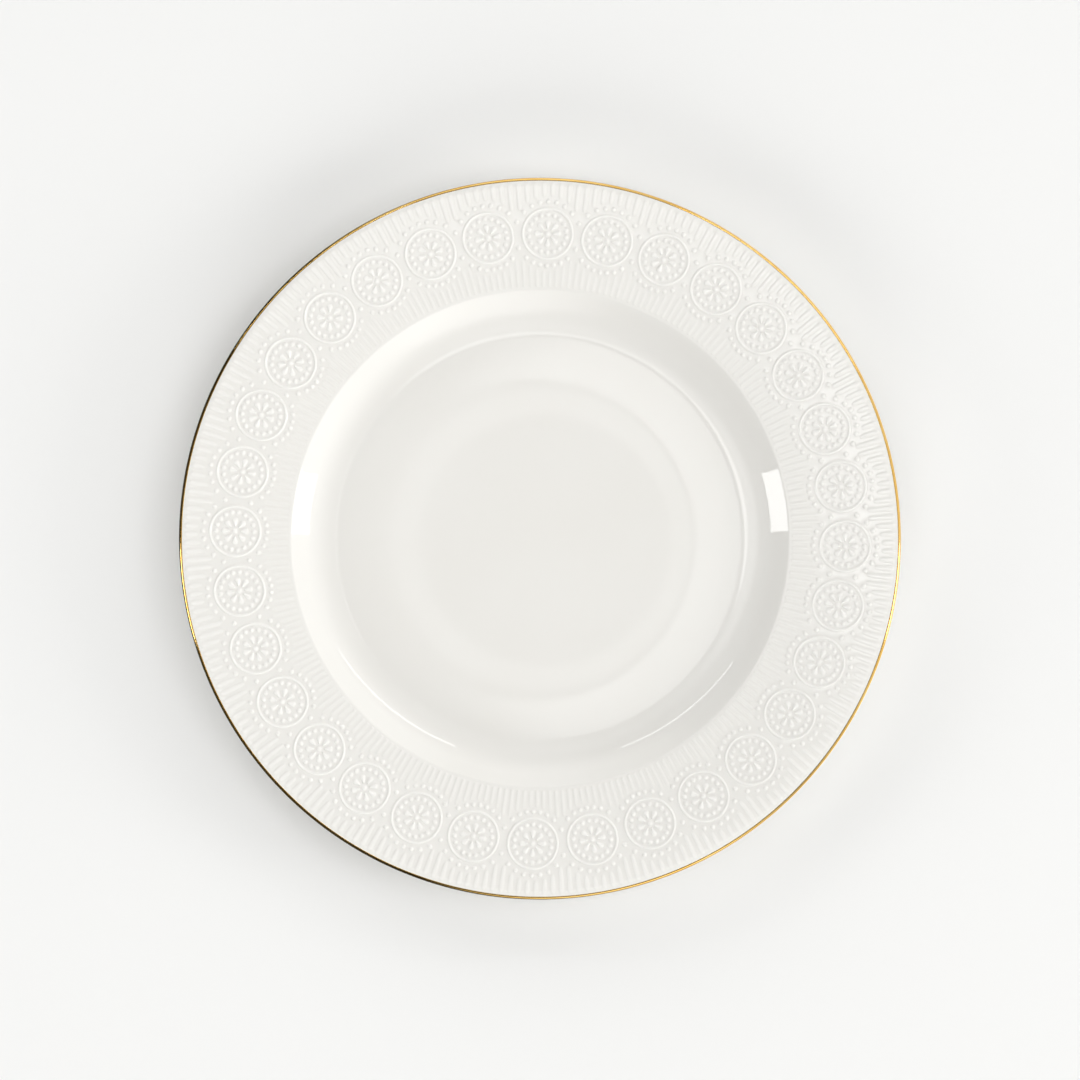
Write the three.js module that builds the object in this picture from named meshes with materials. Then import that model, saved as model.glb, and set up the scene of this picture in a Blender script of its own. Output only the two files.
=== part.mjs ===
// A china dinner plate with a broad raised rim and a gilded lip, in millimetres, +Z up.
// It is round about Z, and its origin is the centre of the plane that its foot ring stands on.
// The china body is one fired piece. The gold band is the metal film fired on to its lip, here a thin
// ring let into the lip flush with the glaze.
import * as THREE from "three";

// Driving dimensions.
const PLATE_RADIUS = 135;
const SEGMENTS = 96; // flats round the plate

const FLOOR_HEIGHT = 6.2; // upper face of the well floor above the table
const FLOOR_THICKNESS = 3.8;
const FLOOR_RADIUS = 76; // the floor is flat out to here, and then curves up into the wall
const WALL_START = 88.5;
const WALL_END = 92.9;
const VERGE_RADIUS = 94; // where the well's wall has turned over into the rim

const WALL_SLOPE = 43; // degrees
const RIM_INNER_SLOPE = 10;
const RIM_OUTER_SLOPE = 7;
const SHOULDER_START = 131; // where the rim starts to roll down to the lip
const SHOULDER_END_SLOPE = -10;

const FOOT_INNER_RADIUS = 73.2; // the flat base of the foot ring
const FOOT_OUTER_RADIUS = 75.8;
const FOOT_BEVEL = 0.4;
const FOOT_DRAFT = 1.2; // how far each side of the foot ring leans out over its height

const BACK_COVE_SLOPE = 5; // where the underside leaves the foot ring
const BACK_WALL_END = 93.4;
const BACK_RIM_START = 98.8;
const BACK_RIM_SLOPE = 8; // where the underside meets the lip

const LIP_RADIUS = 1.5; // half the thickness of the rounded lip
const BAND_DEPTH = 0.2;
const BAND_START = -55; // degrees round the lip, from straight out
const BAND_END = 90 + SHOULDER_END_SLOPE; // where the lip runs into the rim
const BAND_STEPS = 5;

const CHINA = new THREE.MeshStandardMaterial({ color: 0xeceae4, roughness: 0.12, metalness: 0 });
const GOLD = new THREE.MeshStandardMaterial({ color: 0xd9a441, roughness: 0.16, metalness: 1 });

const point = (radius, height) => new THREE.Vector2(radius, height);
const radians = THREE.MathUtils.degToRad;

// Points after start along an arc that runs outward for run while its slope changes evenly.
function bend(start, fromSlope, toSlope, run, steps) {
  const from = radians(fromSlope);
  const to = radians(toSlope);
  const radius = run / (Math.sin(to) - Math.sin(from));
  return Array.from({ length: steps }, (_, i) => {
    const slope = from + ((to - from) * (i + 1)) / steps;
    return point(
      start.x + radius * (Math.sin(slope) - Math.sin(from)),
      start.y + radius * (Math.cos(from) - Math.cos(slope)),
    );
  });
}

// The point reached from start by a straight slope that runs outward for run.
function ramp(start, slope, run) {
  return point(start.x + run, start.y + run * Math.tan(radians(slope)));
}

// Points of a circle about centre, both ends included. Angles are in degrees from straight out.
function arc(centre, radius, from, to, steps) {
  return Array.from({ length: steps + 1 }, (_, i) => {
    const angle = radians(from + ((to - from) * i) / steps);
    return point(centre.x + radius * Math.cos(angle), centre.y + radius * Math.sin(angle));
  });
}

const last = (points) => points[points.length - 1];

// The upper face from the middle of the well out to the lip.
function upperFace() {
  const face = [point(0, FLOOR_HEIGHT), point(FLOOR_RADIUS, FLOOR_HEIGHT)];
  face.push(...bend(last(face), 0, WALL_SLOPE, WALL_START - FLOOR_RADIUS, 5));
  face.push(ramp(last(face), WALL_SLOPE, WALL_END - WALL_START));
  face.push(...bend(last(face), WALL_SLOPE, RIM_INNER_SLOPE, VERGE_RADIUS - WALL_END, 2));
  const rimRun = SHOULDER_START - VERGE_RADIUS;
  face.push(...bend(last(face), RIM_INNER_SLOPE, RIM_OUTER_SLOPE, rimRun, 2));
  const lipStart = PLATE_RADIUS - LIP_RADIUS * (1 + Math.sin(radians(SHOULDER_END_SLOPE)));
  const shoulderRun = lipStart - SHOULDER_START;
  face.push(...bend(last(face), RIM_OUTER_SLOPE, SHOULDER_END_SLOPE, shoulderRun, 3));
  return face;
}

// The underside from its middle out to the lip: a shallow recess, the foot ring, then the back of
// the wall and the back of the rim.
function underFace(lipCentre) {
  const recess = FLOOR_HEIGHT - FLOOR_THICKNESS;
  const face = [
    point(0, recess),
    point(FOOT_INNER_RADIUS - FOOT_DRAFT - FOOT_BEVEL, recess),
    point(FOOT_INNER_RADIUS - FOOT_BEVEL, FOOT_BEVEL),
    point(FOOT_INNER_RADIUS, 0),
    point(FOOT_OUTER_RADIUS, 0),
    point(FOOT_OUTER_RADIUS + FOOT_BEVEL, FOOT_BEVEL),
    point(FOOT_OUTER_RADIUS + FOOT_BEVEL + FOOT_DRAFT, recess + FOOT_BEVEL),
  ];
  const wallStart = WALL_START + FLOOR_THICKNESS * Math.sin(radians(WALL_SLOPE));
  face.push(...bend(last(face), BACK_COVE_SLOPE, WALL_SLOPE, wallStart - last(face).x, 4));
  face.push(ramp(last(face), WALL_SLOPE, BACK_WALL_END - last(face).x));
  face.push(...bend(last(face), WALL_SLOPE, BACK_RIM_SLOPE, BACK_RIM_START - last(face).x, 3));
  const lipBottom = radians(BACK_RIM_SLOPE - 90);
  face.push(
    point(
      lipCentre.x + LIP_RADIUS * Math.cos(lipBottom),
      lipCentre.y + LIP_RADIUS * Math.sin(lipBottom),
    ),
  );
  return face;
}

const upper = upperFace();
const lipDrop = radians(SHOULDER_END_SLOPE);
const lipCentre = point(
  last(upper).x + LIP_RADIUS * Math.sin(lipDrop),
  last(upper).y - LIP_RADIUS * Math.cos(lipDrop),
);
const bandOutside = arc(lipCentre, LIP_RADIUS, BAND_START, BAND_END, BAND_STEPS);
const bandInside = arc(lipCentre, LIP_RADIUS - BAND_DEPTH, BAND_START, BAND_END, BAND_STEPS);

// Turns a closed outline in (radius, height) about Z.
function revolve(outline) {
  return new THREE.LatheGeometry(outline, SEGMENTS).rotateX(Math.PI / 2);
}

// The body's lip is cut back under the band, so its outline steps in, follows the band's inner face
// and steps out again to the rim.
function chinaBody() {
  const outline = [
    ...underFace(lipCentre),
    bandOutside[0],
    ...bandInside,
    ...upper.reverse(),
  ];
  const body = new THREE.Mesh(revolve(outline), CHINA);
  body.name = "china_body";
  return body;
}

function goldRimBand() {
  const outline = [...bandOutside, ...bandInside.reverse(), bandOutside[0]];
  const band = new THREE.Mesh(revolve(outline), GOLD);
  band.name = "gold_rim_band";
  return band;
}

const plate = new THREE.Group();
plate.add(chinaBody(), goldRimBand());

export default plate;
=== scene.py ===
import math

import bpy
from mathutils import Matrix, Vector
from mathutils.geometry import delaunay_2d_cdt


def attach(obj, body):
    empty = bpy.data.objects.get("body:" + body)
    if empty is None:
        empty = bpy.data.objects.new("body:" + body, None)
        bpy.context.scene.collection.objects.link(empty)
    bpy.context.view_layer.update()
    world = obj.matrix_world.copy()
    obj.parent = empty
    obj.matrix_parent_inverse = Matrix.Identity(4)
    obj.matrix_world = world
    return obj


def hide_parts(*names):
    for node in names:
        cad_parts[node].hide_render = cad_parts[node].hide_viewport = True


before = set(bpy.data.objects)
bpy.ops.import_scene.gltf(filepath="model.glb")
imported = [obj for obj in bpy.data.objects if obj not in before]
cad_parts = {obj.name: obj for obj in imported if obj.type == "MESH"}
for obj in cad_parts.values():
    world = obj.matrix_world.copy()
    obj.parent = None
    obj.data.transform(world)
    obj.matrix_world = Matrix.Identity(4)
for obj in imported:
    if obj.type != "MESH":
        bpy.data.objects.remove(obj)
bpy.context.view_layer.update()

MM = 0.001

# The profile, with slopes in degrees.
PLATE_RADIUS = 135
FLOOR_HEIGHT = 6.2
FLOOR_RADIUS = 76
FLOOR_THICKNESS = 3.8
FLOOR_RINGS = (0, 25, 50)  # radii of the mesh's first rings, in the well and in the recess
FLOOR_LAST_STRIP = 0.4  # width of the mesh's last strip on the flat floor
WALL_START = 88.5
WALL_END = 92.9
WALL_SLOPE = 43
VERGE_RADIUS = 94  # where the wall has turned over into the rim
RIM_INNER_SLOPE = 10
RIM_OUTER_SLOPE = 7
SHOULDER_START = 131  # where the rim starts to roll down to the lip
SHOULDER_END_SLOPE = -10
BACK_COVE_SLOPE = 5
BACK_WALL_END = 93.4
BACK_RIM_START = 98.8
BACK_RIM_SLOPE = 8
LIP_RADIUS = 1.5  # half the thickness of the rounded lip
BAND_DEPTH = 0.2  # thickness of the gold
BAND_START = -55  # degrees round the lip, from straight out
BAND_END = 90 + SHOULDER_END_SLOPE
BAND_GAP = 0.02  # between the gold and the china under it
FOOT_INNER_RADIUS = 73  # to the lower corners of the foot ring, before they are rounded
FOOT_OUTER_RADIUS = 76
FOOT_LEAN = 1.4  # how far each side of the foot ring spreads over its height
FOOT_ROUNDING = 0.35
RECESS_ROUNDING = 0.9
BACK_ROUNDING = 0.7
BACK_LIFT = 0.4  # how far the back starts above the recess, outside the foot ring

# The border: one rosette to a sector, between two rows of ribs.
SECTORS = 32
RIBS = 8  # to a sector, in each row
HALF_SECTOR = math.pi / SECTORS
RIB_STEP = 2 * HALF_SECTOR / RIBS
BORDER_TURN = math.radians(1.4)  # of the first rosette, clockwise from +Y
ROSETTE_RADIUS = 114.15  # from the plate's axis to a rosette's
RING_RADIUS = 9.28
RING_HALF_WIDTH = 0.7
RING_TALL = 0.34
RING_SIDES = 44
CENTRE_BEAD_SIZE = 1.3
CENTRE_BEAD_SIDES = 12
INNER_BEADS = 18
INNER_BEAD_RADIUS = 7.05
INNER_BEAD_SIZE = 1.18
PETALS = 8
PETAL_START = 2.3
PETAL_END = 4.05
PETAL_HALF_WIDTHS = (0.5, 1.38)
PETAL_CAPS = (1.2, 1.0)  # lengths of the rounded ends, as shares of their half widths
OUTER_BEAD_RADIUS = 11.85
OUTER_BEAD_SIZE = 1.15
GAP_BEADS = (109.1, 118.7)  # on the line between two sectors
BEAD_TALL = 0.42
BEAD_SIDES = 8
BEAD_FLATNESS = 1.25  # 1 for a round top, and more for a flatter one
RIB_CLEARANCE = 13.05  # the ribs stop at this distance from a rosette's centre
RIB_SHARE = 0.33  # a rib's half width, as a share of the distance between ribs
RIB_NEAR_CAP = 2.0  # length of a rib's rounded end, as a share of its half width
RIB_FLATNESS = 1.6
RIB_ROWS = (  # direction from the rosettes, height, radius of the far end, and its share and cap
    (1, 0.24, 133.55, 0.37, 1.6),
    (-1, 0.15, 94.3, 0.33, 0.8),
)
FOOT_TONE_REACH = 1.3  # how far from the foot of a raised shape its even glaze tone reaches
DOME_POWER = 1.5  # how softly a raised shape runs out at its foot
LEVELS = (1, 0.74, 0.42)  # outlines that carry a raised shape, as shares of its half width
VERGE_STRIP = 0.15  # width of the mesh's strip between the verge and the border
SIDE_SPACING = 3.2  # largest gap between points on a sector's sides
FILL_STEPS = 4  # from the border's edges to the rosette's outer beads
SAME_ANGLE = 1e-7  # angles closer than this are one
SLOPE_STEP = 0.01  # for measuring the slope of the relief

# The stage, in metres.
TABLE_SIZE = 8
BACKDROP_RADIUS = 3.95
BACKDROP_HEIGHT = 6
RIGHT_WINDOW = 98.5  # degrees clockwise from +Y
LEFT_WINDOW = 261
STRIP_Y = 2.2
STRIP_Z = 1.95
STRIP_DEPTH = 0.18
CAMERA_Y = -0.0005
CAMERA_HEIGHT = 1.5
CAMERA_REACH = 20  # how far it sees
VIEW_WIDTH = 0.4039  # at the height of the lip
SENSOR_WIDTH = 36  # millimetres


# ---- profile ----

def bend(start, from_slope, to_slope, run, steps):
    """Points after start along an arc that runs outward for run while its slope changes evenly."""
    low, high = math.radians(from_slope), math.radians(to_slope)
    radius = run / (math.sin(high) - math.sin(low))
    points = []
    for i in range(1, steps + 1):
        slope = low + (high - low) * i / steps
        across = radius * (math.sin(slope) - math.sin(low))
        points.append((start[0] + across, start[1] + radius * (math.cos(low) - math.cos(slope))))
    return points


def ramp(start, slope, run, steps):
    """Points after start along a straight slope that runs outward for run."""
    rise = math.tan(math.radians(slope))
    return [(start[0] + run * i / steps, start[1] + run * rise * i / steps) for i in range(1, steps + 1)]


def arc(centre, radius, start, end, steps):
    """Points of a circle from start to end, in degrees from straight out."""
    angles = [math.radians(start + (end - start) * i / steps) for i in range(steps + 1)]
    return [(centre[0] + radius * math.cos(a), centre[1] + radius * math.sin(a)) for a in angles]


def soften(before, corner, after, cut, steps=4):
    """Points of a curve that rounds off a corner, starting and ending at cut from it."""
    corner = Vector(corner)
    start = corner + (Vector(before) - corner).normalized() * cut
    end = corner + (Vector(after) - corner).normalized() * cut
    points = []
    for i in range(steps + 1):
        part = i / steps
        points.append(tuple(start * (1 - part) ** 2 + corner * 2 * part * (1 - part) + end * part * part))
    return points


floor_radii = (*FLOOR_RINGS, FLOOR_RADIUS - FLOOR_LAST_STRIP, FLOOR_RADIUS)
well = [(radius, FLOOR_HEIGHT) for radius in floor_radii]
well += bend(well[-1], 0, WALL_SLOPE, WALL_START - FLOOR_RADIUS, steps=14)
well += ramp(well[-1], WALL_SLOPE, WALL_END - WALL_START, steps=3)
well += bend(well[-1], WALL_SLOPE, RIM_INNER_SLOPE, VERGE_RADIUS - WALL_END, steps=7)
verge = well[-1]
lip_start = PLATE_RADIUS - LIP_RADIUS * (1 + math.sin(math.radians(SHOULDER_END_SLOPE)))


def bent_height(radius, start, end, start_slope, end_slope):
    """Rise from start to radius on an arc whose slope goes from start_slope to end_slope, in degrees."""
    low, high = math.radians(start_slope), math.radians(end_slope)
    size = (end - start) / (math.sin(high) - math.sin(low))
    sine = math.sin(low) + (radius - start) / size
    return size * (math.cos(low) - math.sqrt(1 - sine * sine))


def rim_height(radius):
    """Height of the rim's upper face under its relief."""
    on_rim = min(radius, SHOULDER_START)
    height = verge[1]
    height += bent_height(on_rim, VERGE_RADIUS, SHOULDER_START, RIM_INNER_SLOPE, RIM_OUTER_SLOPE)
    if radius > SHOULDER_START:
        slopes = RIM_OUTER_SLOPE, SHOULDER_END_SLOPE
        height += bent_height(radius, SHOULDER_START, lip_start, *slopes)
    return height


lip_drop = math.radians(SHOULDER_END_SLOPE)
lip_centre = (
    lip_start + LIP_RADIUS * math.sin(lip_drop),
    rim_height(lip_start) - LIP_RADIUS * math.cos(lip_drop),
)

recess = FLOOR_HEIGHT - FLOOR_THICKNESS
foot = [
    (FOOT_INNER_RADIUS - FOOT_LEAN, recess),
    (FOOT_INNER_RADIUS, 0),
    (FOOT_OUTER_RADIUS, 0),
    (FOOT_OUTER_RADIUS + FOOT_LEAN, recess + BACK_LIFT),
]
back_wall_start = WALL_START + FLOOR_THICKNESS * math.sin(math.radians(WALL_SLOPE))
wall_back = bend(foot[3], BACK_COVE_SLOPE, WALL_SLOPE, back_wall_start - foot[3][0], steps=12)
under = [(radius, recess) for radius in FLOOR_RINGS]
under += soften(under[0], foot[0], foot[1], RECESS_ROUNDING)
under += soften(foot[0], foot[1], foot[2], FOOT_ROUNDING)
under += soften(foot[1], foot[2], foot[3], FOOT_ROUNDING)
under += soften(foot[2], foot[3], wall_back[0], BACK_ROUNDING)
under += wall_back[1:]
under += ramp(under[-1], WALL_SLOPE, BACK_WALL_END - under[-1][0], steps=2)
under += bend(under[-1], WALL_SLOPE, BACK_RIM_SLOPE, BACK_RIM_START - under[-1][0], steps=8)
lip_under = arc(lip_centre, LIP_RADIUS, BACK_RIM_SLOPE - 90, BAND_START, steps=5)
rim_back = [Vector(under[-1]).lerp(Vector(lip_under[0]), i / 5) for i in range(1, 5)]
under += [tuple(point) for point in rim_back] + lip_under


# ---- relief of the border ----

BORDER_INNER = VERGE_RADIUS + VERGE_STRIP
BORDER_OUTER = round(lip_start, 6)


def dome(share):
    """Height of a raised shape, from 1 at its middle (share = 0) to 0 at its foot (share = 1)."""
    return max(0.0, 1 - share * share) ** DOME_POWER


def polar(radius, angle, middle=(0, 0)):
    """The point at radius and angle, clockwise from +Y, about middle."""
    return middle[0] + radius * math.sin(angle), middle[1] + radius * math.cos(angle)


def turned(x, y, angle):
    """The point (x, y) turned clockwise about the axis."""
    return x * math.cos(angle) + y * math.sin(angle), y * math.cos(angle) - x * math.sin(angle)


def circle(middle, radius, count, turn=0.0):
    """Points evenly spaced round middle, the first of them at angle turn."""
    return [polar(radius, turn + 2 * math.pi * i / count, middle) for i in range(count)]


# A raised shape has loops and lines that the mesh follows. Its share of a point tells how far out the
# point lies: 0 on the shape's crest, 1 at its foot. Its size is the distance from crest to foot.

class Bead:
    """A round bead."""

    flatness = BEAD_FLATNESS

    def __init__(self, centre, size, tall, count, turn=0.0):
        self.centre, self.size, self.tall = centre, size, tall
        self.loops = [circle(centre, size * level, count, turn) for level in LEVELS]
        self.lines = [[centre]]

    def share(self, x, y):
        return math.dist((x, y), self.centre) / self.size


class Hoop:
    """A raised ring."""

    flatness = 1

    def __init__(self, centre, radius, size, tall, count):
        self.centre, self.radius, self.size, self.tall = centre, radius, size, tall
        radii = [radius + sign * size * level for level in LEVELS for sign in (-1, 1)]
        self.loops = [circle(centre, each, count) for each in radii + [radius]]
        self.lines = []

    def share(self, x, y):
        return abs(math.dist((x, y), self.centre) - self.radius) / self.size


class Stroke:
    """A raised bar from start to end, whose half width and rounded end differ between its two ends."""

    def __init__(self, start, end, widths, caps, tall, flatness, cap_steps=4, stations=3):
        self.start, self.widths, self.caps = Vector(start), widths, caps
        self.size, self.tall, self.flatness = max(widths), tall, flatness
        self.along = Vector(end) - self.start
        self.length = self.along.length
        self.along.normalize()
        self.across = Vector((self.along.y, -self.along.x))
        self.loops = [self.outline(level, cap_steps, stations) for level in LEVELS]
        self.lines = [[self.place(self.length * i / stations, 0) for i in range(stations + 1)]]

    def place(self, along, across):
        """The point that lies along the bar from its start and across from its middle line."""
        return tuple(self.start + self.along * along + self.across * across)

    def width(self, part):
        """Half width at a part of the way from start to end."""
        return self.widths[0] + (self.widths[1] - self.widths[0]) * part

    def outline(self, level, cap_steps, stations):
        """A loop round the bar, at level times its half width."""
        points = []
        for side, end in ((1, 1), (-1, 0)):
            for i in range(1, stations):
                part = i / stations if side > 0 else 1 - i / stations
                points.append(self.place(self.length * part, side * level * self.width(part)))
            for i in range(cap_steps + 1):
                turn = math.pi * i / cap_steps
                reach = side * level * self.caps[end] * self.widths[end] * math.sin(turn)
                across = side * level * self.widths[end] * math.cos(turn)
                points.append(self.place(self.length * end + reach, across))
        return points

    def share(self, x, y):
        offset = Vector((x, y)) - self.start
        along = offset.dot(self.along)
        part = min(1.0, max(0.0, along / self.length))
        width = self.width(part)
        beyond = (along - part * self.length) / (self.caps[round(part)] * width)
        return math.hypot(beyond, offset.dot(self.across) / width)


def on_ray(angle, distance, outward):
    """Radius where a ray at angle is at distance from the rosette's centre.

    Outward is 1 for the far side of the rosette, and -1 for the near side.
    """
    middle = ROSETTE_RADIUS * math.cos(angle)
    return middle + outward * math.sqrt(distance**2 - (ROSETTE_RADIUS * math.sin(angle)) ** 2)


def border_shapes():
    """The raised shapes of one sector, whose rosette lies on +Y."""
    middle = (0, ROSETTE_RADIUS)
    shapes = [
        Hoop(middle, RING_RADIUS, RING_HALF_WIDTH, RING_TALL, RING_SIDES),
        Bead(middle, CENTRE_BEAD_SIZE, BEAD_TALL, CENTRE_BEAD_SIDES),
    ]
    for i in range(INNER_BEADS):
        angle = 2 * math.pi * i / INNER_BEADS
        centre = polar(INNER_BEAD_RADIUS, angle, middle)
        shapes.append(Bead(centre, INNER_BEAD_SIZE, BEAD_TALL, BEAD_SIDES, angle))
    for i in range(PETALS):
        angle = 2 * math.pi * i / PETALS
        ends = polar(PETAL_START, angle, middle), polar(PETAL_END, angle, middle)
        form = PETAL_HALF_WIDTHS, PETAL_CAPS, BEAD_TALL, BEAD_FLATNESS
        shapes.append(Stroke(*ends, *form, cap_steps=5, stations=2))
    for k in range(1 - RIBS // 2, RIBS // 2):
        angle = k * RIB_STEP
        for outward in (1, -1):
            radius = on_ray(angle, OUTER_BEAD_RADIUS, outward)
            centre = polar(radius, angle)
            shapes.append(Bead(centre, OUTER_BEAD_SIZE, BEAD_TALL, BEAD_SIDES, angle))
    for side in (-1, 1):
        for radius in GAP_BEADS:
            centre = polar(radius, side * HALF_SECTOR)
            shapes.append(Bead(centre, OUTER_BEAD_SIZE, BEAD_TALL, BEAD_SIDES, side * HALF_SECTOR))
    for k in range(RIBS):
        angle = (k + 0.5 - RIBS / 2) * RIB_STEP
        for outward, tall, far, far_share, cap in RIB_ROWS:
            near = on_ray(angle, RIB_CLEARANCE, outward)
            widths = near * RIB_STEP * RIB_SHARE, far * RIB_STEP * far_share
            near += outward * RIB_NEAR_CAP * widths[0]
            far -= outward * cap * widths[1]
            ends = polar(near, angle), polar(far, angle)
            shapes.append(Stroke(*ends, widths, (RIB_NEAR_CAP, cap), tall, RIB_FLATNESS))
    return shapes


def sector_mesh(shapes):
    """One sector of the border: its points as (angle, radius), and its triangles."""
    points, edges = [], []

    def add(angle, radius):
        if abs(abs(angle) - HALF_SECTOR) < SAME_ANGLE:
            angle, radius = math.copysign(HALF_SECTOR, angle), round(radius, 6)
        points.append((angle, radius))
        return len(points) - 1

    def add_line(line, closed):
        """Adds the points of a line that lie in the sector, and the edges between them."""
        ids = []
        for x, y in line:
            angle = math.atan2(x, y)
            inside = abs(angle) < HALF_SECTOR + SAME_ANGLE
            ids.append(add(angle, math.hypot(x, y)) if inside else None)
        pairs = zip(ids, ids[1:] + ids[:1]) if closed else zip(ids, ids[1:])
        edges.extend(pair for pair in pairs if None not in pair)

    for shape in shapes:
        for loop in shape.loops:
            add_line(loop, True)
        for line in shape.lines:
            add_line(line, False)

    # Points between the ribs keep the triangles there even.
    for k in range(1 - RIBS // 2, RIBS // 2):
        angle = k * RIB_STEP
        inner_gap = on_ray(angle, RIB_CLEARANCE, -1) - BORDER_INNER
        outer_gap = BORDER_OUTER - on_ray(angle, RIB_CLEARANCE, 1)
        for i in range(1, FILL_STEPS):
            add(angle, BORDER_INNER + inner_gap * i / FILL_STEPS)
            add(angle, BORDER_OUTER - outer_gap * i / FILL_STEPS)

    # The sides get the same radii, so that the sectors meet point to point.
    on_side = {radius for angle, radius in points if angle == HALF_SECTOR}
    side_radii = sorted(on_side | {BORDER_INNER, BORDER_OUTER})
    fill = []
    for low, high in zip(side_radii, side_radii[1:]):
        count = math.ceil((high - low) / SIDE_SPACING)
        fill += [round(low + (high - low) * i / count, 6) for i in range(1, count)]
    for angle in (-HALF_SECTOR, HALF_SECTOR):
        for radius in fill + [BORDER_INNER, BORDER_OUTER]:
            add(angle, radius)
    for k in range(1, RIBS):
        for radius in (BORDER_INNER, BORDER_OUTER):
            add(-HALF_SECTOR + k * RIB_STEP, radius)

    def chain(fixed, value, along):
        """Joins the points whose coordinate number fixed is value, in the order of the other one."""
        on_line = [i for i, point in enumerate(points) if point[fixed] == value]
        ids = sorted(on_line, key=lambda i: points[i][along])
        edges.extend(zip(ids, ids[1:]))

    for angle in (-HALF_SECTOR, HALF_SECTOR):
        chain(0, angle, 1)
    for radius in (BORDER_INNER, BORDER_OUTER):
        chain(1, radius, 0)

    flat = [Vector((angle * ROSETTE_RADIUS, radius)) for angle, radius in points]
    result, _, triangles, origins, _, _ = delaunay_2d_cdt(flat, edges, [], 0, 1e-6)
    kept = []
    for point, own in zip(result, origins):
        kept.append(points[own[0]] if own else (point.x / ROSETTE_RADIUS, point.y))
    return kept, triangles


sector_shapes = border_shapes()


def relief(x, y):
    """Height of the relief over the rim."""
    return max(shape.tall * dome(shape.share(x, y) ** shape.flatness) for shape in sector_shapes)


def foot_tone(x, y):
    """How near a point lies to the foot of a raised shape: 1 at the foot, 0 away from one. The glaze takes
    one even tone there.
    """
    gap = min((shape.share(x, y) - 1) * shape.size for shape in sector_shapes)
    return max(0.0, 1 - abs(gap) / FOOT_TONE_REACH)


def surface(x, y):
    """Height of the rim with its relief."""
    return rim_height(math.hypot(x, y)) + relief(x, y)


class Builder:
    """Gathers the vertices and faces of one mesh, and the normals and relief details known for some. The
    details drive the painted highlight on crests and the even tone at the foot of raised shapes.
    """

    def __init__(self):
        self.vertices, self.faces, self.normals, self.details = [], [], {}, {}

    def ring(self, radius, height):
        """A ring of vertices, one to each rib of the border."""
        ids = range(len(self.vertices), len(self.vertices) + SECTORS * RIBS)
        for k in range(SECTORS * RIBS):
            x, y = polar(radius, BORDER_TURN - HALF_SECTOR + k * RIB_STEP)
            self.vertices.append((x, y, height))
        return list(ids)

    def strip(self, first, second):
        """Faces between two rings."""
        self.faces += zip(first, second, second[1:] + second[:1], first[1:] + first[:1])

    def fan(self, ring, height, below):
        """Faces from a ring to a vertex on the axis."""
        middle = len(self.vertices)
        self.vertices.append((0, 0, height))
        for a, b in zip(ring, ring[1:] + ring[:1]):
            self.faces.append((middle, a, b) if below else (middle, b, a))

    def path(self, points):
        """Rings through points, joined by strips."""
        rings = [self.ring(*point) for point in points]
        for first, second in zip(rings, rings[1:]):
            self.strip(first, second)
        return rings

    def border(self):
        """All the sectors of the relief. Gives the rings of vertices along its inner and outer edges."""
        points, triangles = sector_mesh(sector_shapes)
        local = []
        for angle, radius in points:
            x, y = polar(radius, angle)
            slope_x = (surface(x + SLOPE_STEP, y) - surface(x - SLOPE_STEP, y)) / (2 * SLOPE_STEP)
            slope_y = (surface(x, y + SLOPE_STEP) - surface(x, y - SLOPE_STEP)) / (2 * SLOPE_STEP)
            normal = Vector((-slope_x, -slope_y, 1)).normalized()
            local.append((x, y, surface(x, y), normal, (relief(x, y), foot_tone(x, y))))
        left = {radius: i for i, (angle, radius) in enumerate(points) if angle == -HALF_SECTOR}
        own = [i for i, (angle, _) in enumerate(points) if angle != HALF_SECTOR]
        place = {i: number for number, i in enumerate(own)}
        base = len(self.vertices)

        def index(sector, i):
            """The vertex of point i of a sector. Points on its right side belong to the next sector."""
            if points[i][0] == HALF_SECTOR:
                sector, i = sector + 1, left[points[i][1]]
            return base + (sector % SECTORS) * len(own) + place[i]

        for sector in range(SECTORS):
            turn = BORDER_TURN + 2 * HALF_SECTOR * sector
            for i in own:
                x, y, z, normal, detail = local[i]
                here = len(self.vertices)
                self.vertices.append((*turned(x, y, turn), z))
                self.normals[here] = Vector((*turned(normal.x, normal.y, turn), normal.z))
                self.details[here] = detail
            self.faces += [tuple(index(sector, i) for i in triangle) for triangle in triangles]
        edges = []
        for edge in (BORDER_INNER, BORDER_OUTER):
            line = sorted((points[i][0], i) for i in own if points[i][1] == edge)
            edges.append([index(sector, i) for sector in range(SECTORS) for _, i in line])
        return edges

    def make(self, name):
        """The finished mesh, as an object in the scene."""
        mesh = bpy.data.meshes.new(name)
        mesh.from_pydata([(x * MM, y * MM, z * MM) for x, y, z in self.vertices], [], self.faces)
        mesh.update()
        mesh.polygons.foreach_set("use_smooth", [True] * len(mesh.polygons))
        normals = [self.normals.get(i, v.normal.copy()) for i, v in enumerate(mesh.vertices)]
        mesh.normals_split_custom_set_from_vertices(normals)
        for k, kind in enumerate(("raised", "foot_tone")):
            values = [self.details.get(i, (0.0, 0.0))[k] for i in range(len(mesh.vertices))]
            mesh.attributes.new(kind, "FLOAT", "POINT").data.foreach_set("value", values)
        mesh.validate()
        piece = bpy.data.objects.new(name, mesh)
        bpy.context.scene.collection.objects.link(piece)
        return piece


def china_body():
    """The glazed body, with its lip cut back under the gold."""
    build = Builder()
    lip_radius = LIP_RADIUS - BAND_DEPTH - BAND_GAP
    back = build.path(under[1:] + arc(lip_centre, lip_radius, BAND_START, BAND_END, steps=8))
    build.fan(back[0], under[0][1], below=True)
    inner, outer = build.border()
    front = build.path(well[:0:-1])
    build.strip(back[-1], outer)
    build.strip(inner, front[0])
    build.fan(front[-1], well[0][1], below=False)
    return build.make("china_body_glazed")


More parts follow.
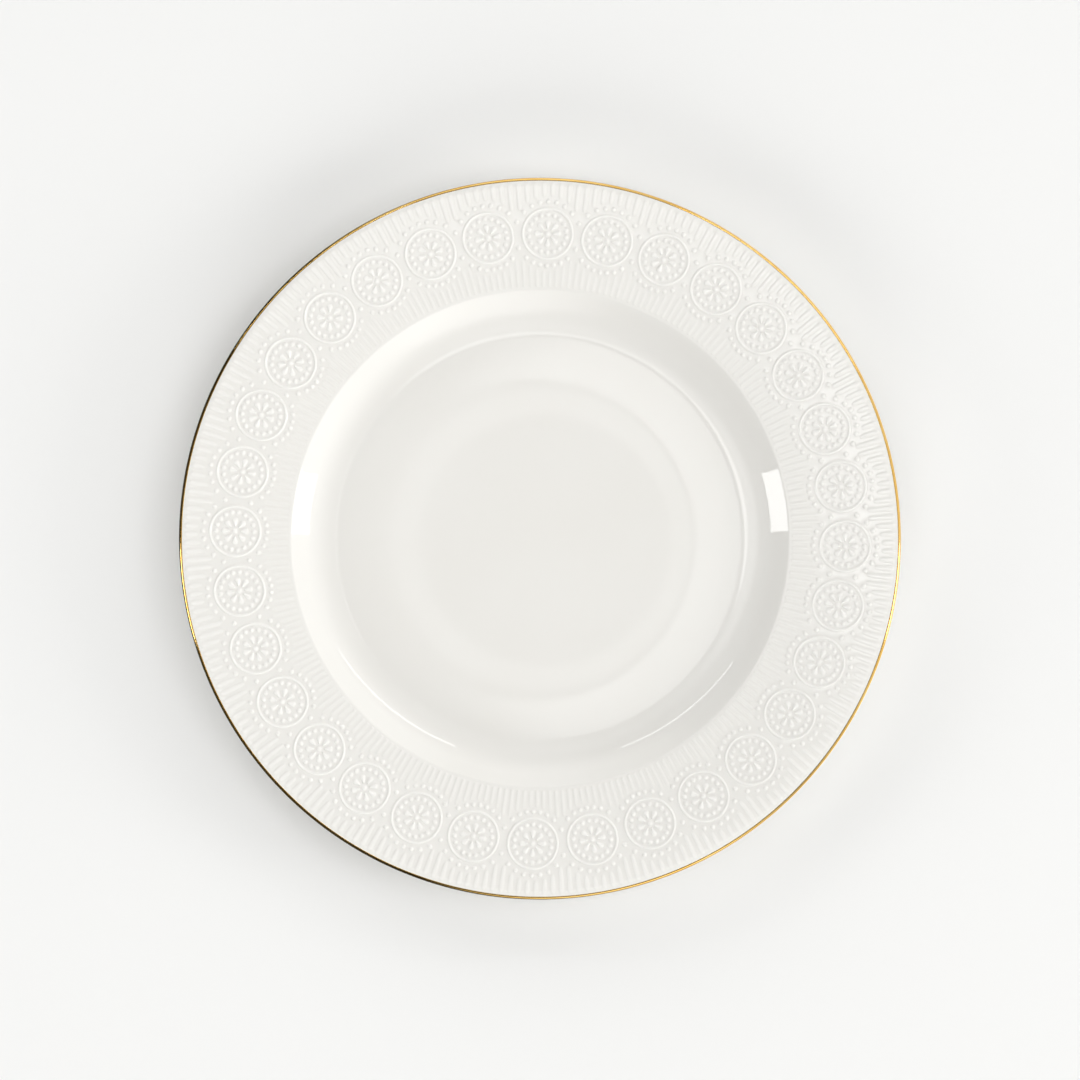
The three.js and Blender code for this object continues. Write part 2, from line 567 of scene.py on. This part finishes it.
def gold_band():
    """The gold, as a closed ring that follows the lip."""
    build = Builder()
    outside = arc(lip_centre, LIP_RADIUS, BAND_START, BAND_END, steps=16)
    inside = arc(lip_centre, LIP_RADIUS - BAND_DEPTH, BAND_END, BAND_START, steps=16)
    rings = build.path(outside + inside)
    build.strip(rings[-1], rings[0])
    return build.make("gold_rim_line")


# ---- materials ----

BARE_HEIGHTS = 0.00045, 0.00025  # metres: glazed above the first, and bare below the second
CREST_LIGHT_HEIGHTS = 0.1, 0.36  # millimetres of relief over which the crests are painted lighter, a painted highlight for the light they catch


class Nodes:
    """A material with a Principled shader, and shorthand for adding nodes to it."""

    def __init__(self, name):
        self.material = bpy.data.materials.new(name)
        self.material.use_nodes = True
        self.tree = self.material.node_tree
        self.shader = self.tree.nodes["Principled BSDF"]
        self.place = self.tree.nodes.new("ShaderNodeTexCoord").outputs["Object"]

    def link(self, source, target):
        self.tree.links.new(source, target)

    def noise(self, scale, detail):
        node = self.tree.nodes.new("ShaderNodeTexNoise")
        node.inputs["Scale"].default_value = scale
        node.inputs["Detail"].default_value = detail
        self.link(self.place, node.inputs["Vector"])
        return node.outputs["Fac"]

    def span(self, value, low, high, to_low=0.0, to_high=1.0):
        """Value rescaled so that low becomes to_low and high becomes to_high, and held between them."""
        node = self.tree.nodes.new("ShaderNodeMapRange")
        node.inputs["From Min"].default_value = low
        node.inputs["From Max"].default_value = high
        node.inputs["To Min"].default_value = to_low
        node.inputs["To Max"].default_value = to_high
        self.link(value, node.inputs["Value"])
        return node.outputs["Result"]

    def math(self, operation, first, second):
        node = self.tree.nodes.new("ShaderNodeMath")
        node.operation = operation
        for value, socket in zip((first, second), node.inputs):
            if isinstance(value, (int, float)):
                socket.default_value = value
            else:
                self.link(value, socket)
        return node.outputs["Value"]

    def blend(self, share, first, second):
        """A colour between first and second, each of them a colour or a socket."""
        node = self.tree.nodes.new("ShaderNodeMix")
        node.data_type = "RGBA"
        self.link(share, node.inputs["Factor"])
        for value, socket in ((first, node.inputs[6]), (second, node.inputs[7])):
            if isinstance(value, tuple):
                socket.default_value = (*value, 1)
            else:
                self.link(value, socket)
        return node.outputs[2]

    def attribute(self, name):
        node = self.tree.nodes.new("ShaderNodeAttribute")
        node.attribute_name = name
        return node.outputs["Fac"]

    def bump(self, height, distance, below=None):
        """A surface raised by height times distance in metres, over another bump if there is one below."""
        node = self.tree.nodes.new("ShaderNodeBump")
        node.inputs["Strength"].default_value = 1
        node.inputs["Distance"].default_value = distance
        self.link(height, node.inputs["Height"])
        if below is not None:
            self.link(below, node.inputs["Normal"])
        return node.outputs["Normal"]


def china_material():
    """Warm white glaze with a painted highlight that makes the relief's crests lighter, one even tone near
    the foot of each raised shape, and bisque where the foot is bare.
    """
    china = Nodes("glazed_china")
    position = china.tree.nodes.new("ShaderNodeSeparateXYZ")
    china.link(china.place, position.inputs[0])
    bare = china.span(position.outputs["Z"], *BARE_HEIGHTS)
    cloud = china.span(china.noise(22, 3), 0.3, 0.7)
    white = china.blend(cloud, (0.825, 0.81, 0.772), (0.838, 0.825, 0.79))
    # The glaze near the foot of a raised shape takes one even tone in place of the clouded white.
    lower = china.blend(china.attribute("foot_tone"), white, (0.832, 0.817, 0.779))
    # Painted highlight: the crests of the relief are lighter, standing in for the light they catch.
    crest_light = china.span(china.attribute("raised"), *CREST_LIGHT_HEIGHTS)
    glazed = china.blend(crest_light, lower, (0.888, 0.876, 0.842))
    speck = china.span(china.noise(2600, 1), 0.35, 0.65)
    bisque = china.blend(speck, (0.74, 0.71, 0.65), (0.83, 0.8, 0.75))
    china.link(china.blend(bare, glazed, bisque), china.shader.inputs["Base Color"])
    gloss = china.span(china.noise(60, 2), 0.3, 0.7, 0.008, 0.02)
    dull = china.math("MULTIPLY", bare, 0.55)
    china.link(china.math("ADD", gloss, dull), china.shader.inputs["Roughness"])
    ripple = china.bump(china.noise(95, 1), 0.0000015)
    grain = china.bump(china.math("MULTIPLY", china.noise(2200, 2), bare), 0.00006, ripple)
    china.link(grain, china.shader.inputs["Normal"])
    china.shader.inputs["IOR"].default_value = 1.52
    return china.material


def gold_material():
    """Burnished gold with slow changes of colour and gloss."""
    gold = Nodes("fired_gold")
    cloud = gold.span(gold.noise(70, 3), 0.3, 0.7)
    gold.link(gold.blend(cloud, (0.80, 0.50, 0.14), (0.90, 0.62, 0.23)), gold.shader.inputs["Base Color"])
    gold.link(gold.span(gold.noise(160, 3), 0.3, 0.7, 0.05, 0.1), gold.shader.inputs["Roughness"])
    gold.link(gold.bump(gold.noise(700, 2), 0.000008), gold.shader.inputs["Normal"])
    gold.shader.inputs["Metallic"].default_value = 1
    return gold.material


def table_material():
    """Matt white that glows a little, which keeps the plate's shadow soft."""
    pale = Nodes("pale_table")
    cloud = pale.noise(6, 2)
    pale.link(pale.blend(cloud, (0.83, 0.83, 0.82), (0.84, 0.84, 0.83)), pale.shader.inputs["Base Color"])
    pale.shader.inputs["Roughness"].default_value = 0.9
    pale.shader.inputs["Specular IOR Level"].default_value = 0.1
    pale.shader.inputs["Emission Color"].default_value = (1, 1, 0.985, 1)
    pale.shader.inputs["Emission Strength"].default_value = 0.05
    return pale.material


def backdrop_material():
    """An even pale glow that takes no light from the lamps."""
    pale = Nodes("pale_backdrop")
    cloud = pale.noise(0.4, 2)
    pale.link(pale.blend(cloud, (0.86, 0.86, 0.85), (0.9, 0.9, 0.89)), pale.shader.inputs["Emission Color"])
    pale.shader.inputs["Emission Strength"].default_value = 1
    pale.shader.inputs["Base Color"].default_value = (0, 0, 0, 1)
    pale.shader.inputs["Specular IOR Level"].default_value = 0
    return pale.material


body = china_body()
body.data.materials.append(china_material())
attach(body, "root")
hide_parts("china_body")

band = gold_band()
band.data.materials.append(gold_material())
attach(band, "root")
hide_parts("gold_rim_band")


# ---- stage ----

scene = bpy.context.scene
scene.view_settings.view_transform = "Standard"

# Reflections leave out the table, so the gold can be dark where the lip faces it.
bpy.ops.mesh.primitive_plane_add(size=TABLE_SIZE)
table = bpy.context.object
table.name = "table"
table.data.materials.append(table_material())
table.visible_glossy = False

# The backdrop is what a low view sees past the table, and light passes through it.
bpy.ops.mesh.primitive_cylinder_add(
    vertices=64,
    radius=BACKDROP_RADIUS,
    depth=BACKDROP_HEIGHT,
    end_fill_type="NOTHING",
)
backdrop = bpy.context.object
backdrop.name = "backdrop"
backdrop.data.materials.append(backdrop_material())
backdrop.visible_diffuse = backdrop.visible_glossy = backdrop.visible_shadow = False


def toward(azimuth, elevation):
    """Unit vector toward a direction in degrees, with azimuth clockwise from +Y."""
    turn, rise = math.radians(azimuth), math.radians(elevation)
    return math.cos(rise) * math.sin(turn), math.cos(rise) * math.cos(turn), math.sin(rise)


def sky(glows, panels):
    """Surroundings of soft glows that add up, with panels painted over them in turn.

    Each is (azimuth, elevation, reach, core, strength): full strength within core of its middle, and
    none beyond reach, all in degrees.
    """
    world = bpy.data.worlds.new("studio")
    scene.world = world
    world.use_nodes = True
    tree = world.node_tree
    direction = tree.nodes.new("ShaderNodeTexCoord").outputs["Generated"]

    def fade(azimuth, elevation, reach, core, strength):
        dot = tree.nodes.new("ShaderNodeVectorMath")
        dot.operation = "DOT_PRODUCT"
        dot.inputs[1].default_value = toward(azimuth, elevation)
        tree.links.new(direction, dot.inputs[0])
        node = tree.nodes.new("ShaderNodeMapRange")
        node.interpolation_type = "SMOOTHSTEP"
        node.inputs["From Min"].default_value = math.cos(math.radians(reach))
        node.inputs["From Max"].default_value = math.cos(math.radians(core))
        node.inputs["To Max"].default_value = strength
        tree.links.new(dot.outputs["Value"], node.inputs["Value"])
        return node.outputs["Result"]

    total = fade(*glows[0])
    for glow in glows[1:]:
        add = tree.nodes.new("ShaderNodeMath")
        tree.links.new(total, add.inputs[0])
        tree.links.new(fade(*glow), add.inputs[1])
        total = add.outputs["Value"]
    for *area, strength in panels:
        cover = tree.nodes.new("ShaderNodeMix")
        cover.inputs["B"].default_value = strength
        tree.links.new(fade(*area, 1), cover.inputs["Factor"])
        tree.links.new(total, cover.inputs["A"])
        total = cover.outputs["Result"]
    background = tree.nodes["Background"]
    background.inputs["Color"].default_value = (1, 1, 0.99, 1)
    tree.links.new(total, background.inputs["Strength"])


def softbox(name, place, target, width, height, power):
    """A rectangular lamp at place that faces target, in metres and watts, and that no view shows."""
    light = bpy.data.lights.new(name, "AREA")
    light.shape = "RECTANGLE"
    light.size = width
    light.size_y = height
    light.energy = power
    lamp = bpy.data.objects.new(name, light)
    scene.collection.objects.link(lamp)
    lamp.location = place
    lamp.rotation_euler = (Vector(target) - Vector(place)).to_track_quat("-Z", "Y").to_euler()
    lamp.visible_camera = False
    return lamp


def box_light(name, azimuth, elevation, distance, width, height, power):
    """A softbox that faces the plate from a direction in degrees."""
    place = Vector(toward(azimuth, elevation)) * distance
    return softbox(name, place, (0, 0, 0), width, height, power)


LOW_GLOWS = [  # for the rim and the gold
    (0, 12, 53, 0, 0.27),
    (30, 12, 53, 0, 0.43),
    (60, 12, 53, 0, 0.39),
    (90, 12, 53, 0, 0.43),
    (120, 12, 53, 0, 0.51),
    (166, 10, 34, 0, 1.3),
    (350, 10, 32, 0, 0.75),
    (250, 0, 80, 0, 0.07),
]
HIGH_GLOWS = [  # for the well
    (45, 60, 40, 0, 0.15),
    (0, 69, 20, 3, 0.5),
    (180, 69, 20, 3, 0.5),
    (262, 68, 20, 3, 1.5),
]
GLOWS_FROM_BELOW = [  # for the gold's outer side
    (20, -48, 48, 0, 0.85),
    (95, -48, 48, 0, 0.85),
    (140, -48, 40, 0, 0.8),
]
OVERHEAD_PANELS = [  # for the flat floor and the start of its cove
    (165, 82.3, 4.2, 3.2, 2.3),
    (215, 82.3, 4.2, 3.2, 2.3),
    (258, 81.2, 5.0, 3.6, 3.8),
    (90, 87.9, 4.2, 2.9, 1.6),
    (270, 89.93, 2.36, 2.3, 0.1),
    (90, 90, 2.2, 2.16, 0.75),
    (90, 89.93, 1.84, 1.8, 0.03),
]
sky(LOW_GLOWS + HIGH_GLOWS + GLOWS_FROM_BELOW, OVERHEAD_PANELS)

# The windows show in the glaze and give no other light.
for lamp in (
    box_light("right_window", RIGHT_WINDOW, 13.6, 3.0, 0.76, 0.74, 11),
    box_light("left_window", LEFT_WINDOW, 13.6, 3.0, 0.76, 0.74, 11),
):
    lamp.visible_diffuse = False

# The strips stand well out beyond the plate's +Y side and put glints on its relief.
for name, across, width, power in (("left_strip", -2.15, 2.6, 8), ("right_strip", 2.5, 3.2, 9)):
    softbox(name, (across, STRIP_Y, STRIP_Z), (across, 0, 0), width, STRIP_DEPTH, power)

# The rest light the plate and the table, and do not show in the glaze.
for lamp in (
    box_light("key", 90, 65, 3.8, 2.4, 2.4, 43),
    box_light("right_fill", RIGHT_WINDOW, 16, 3.0, 0.8, 1.0, 23),
    box_light("left_fill", LEFT_WINDOW, 16, 3.0, 0.8, 1.0, 16),
    box_light("front_fill", 190, 20, 3.2, 1.6, 1.6, 36),
    box_light("back_fill", 325, 20, 3.2, 1.6, 1.6, 18),
):
    lamp.visible_glossy = False

camera_data = bpy.data.cameras.new("camera")
camera = bpy.data.objects.new("camera", camera_data)
scene.collection.objects.link(camera)
camera.location = (0, CAMERA_Y, CAMERA_HEIGHT)
camera_data.sensor_width = SENSOR_WIDTH
camera_data.lens = SENSOR_WIDTH * (CAMERA_HEIGHT - lip_centre[1] * MM) / VIEW_WIDTH
camera_data.clip_end = CAMERA_REACH
scene.camera = camera
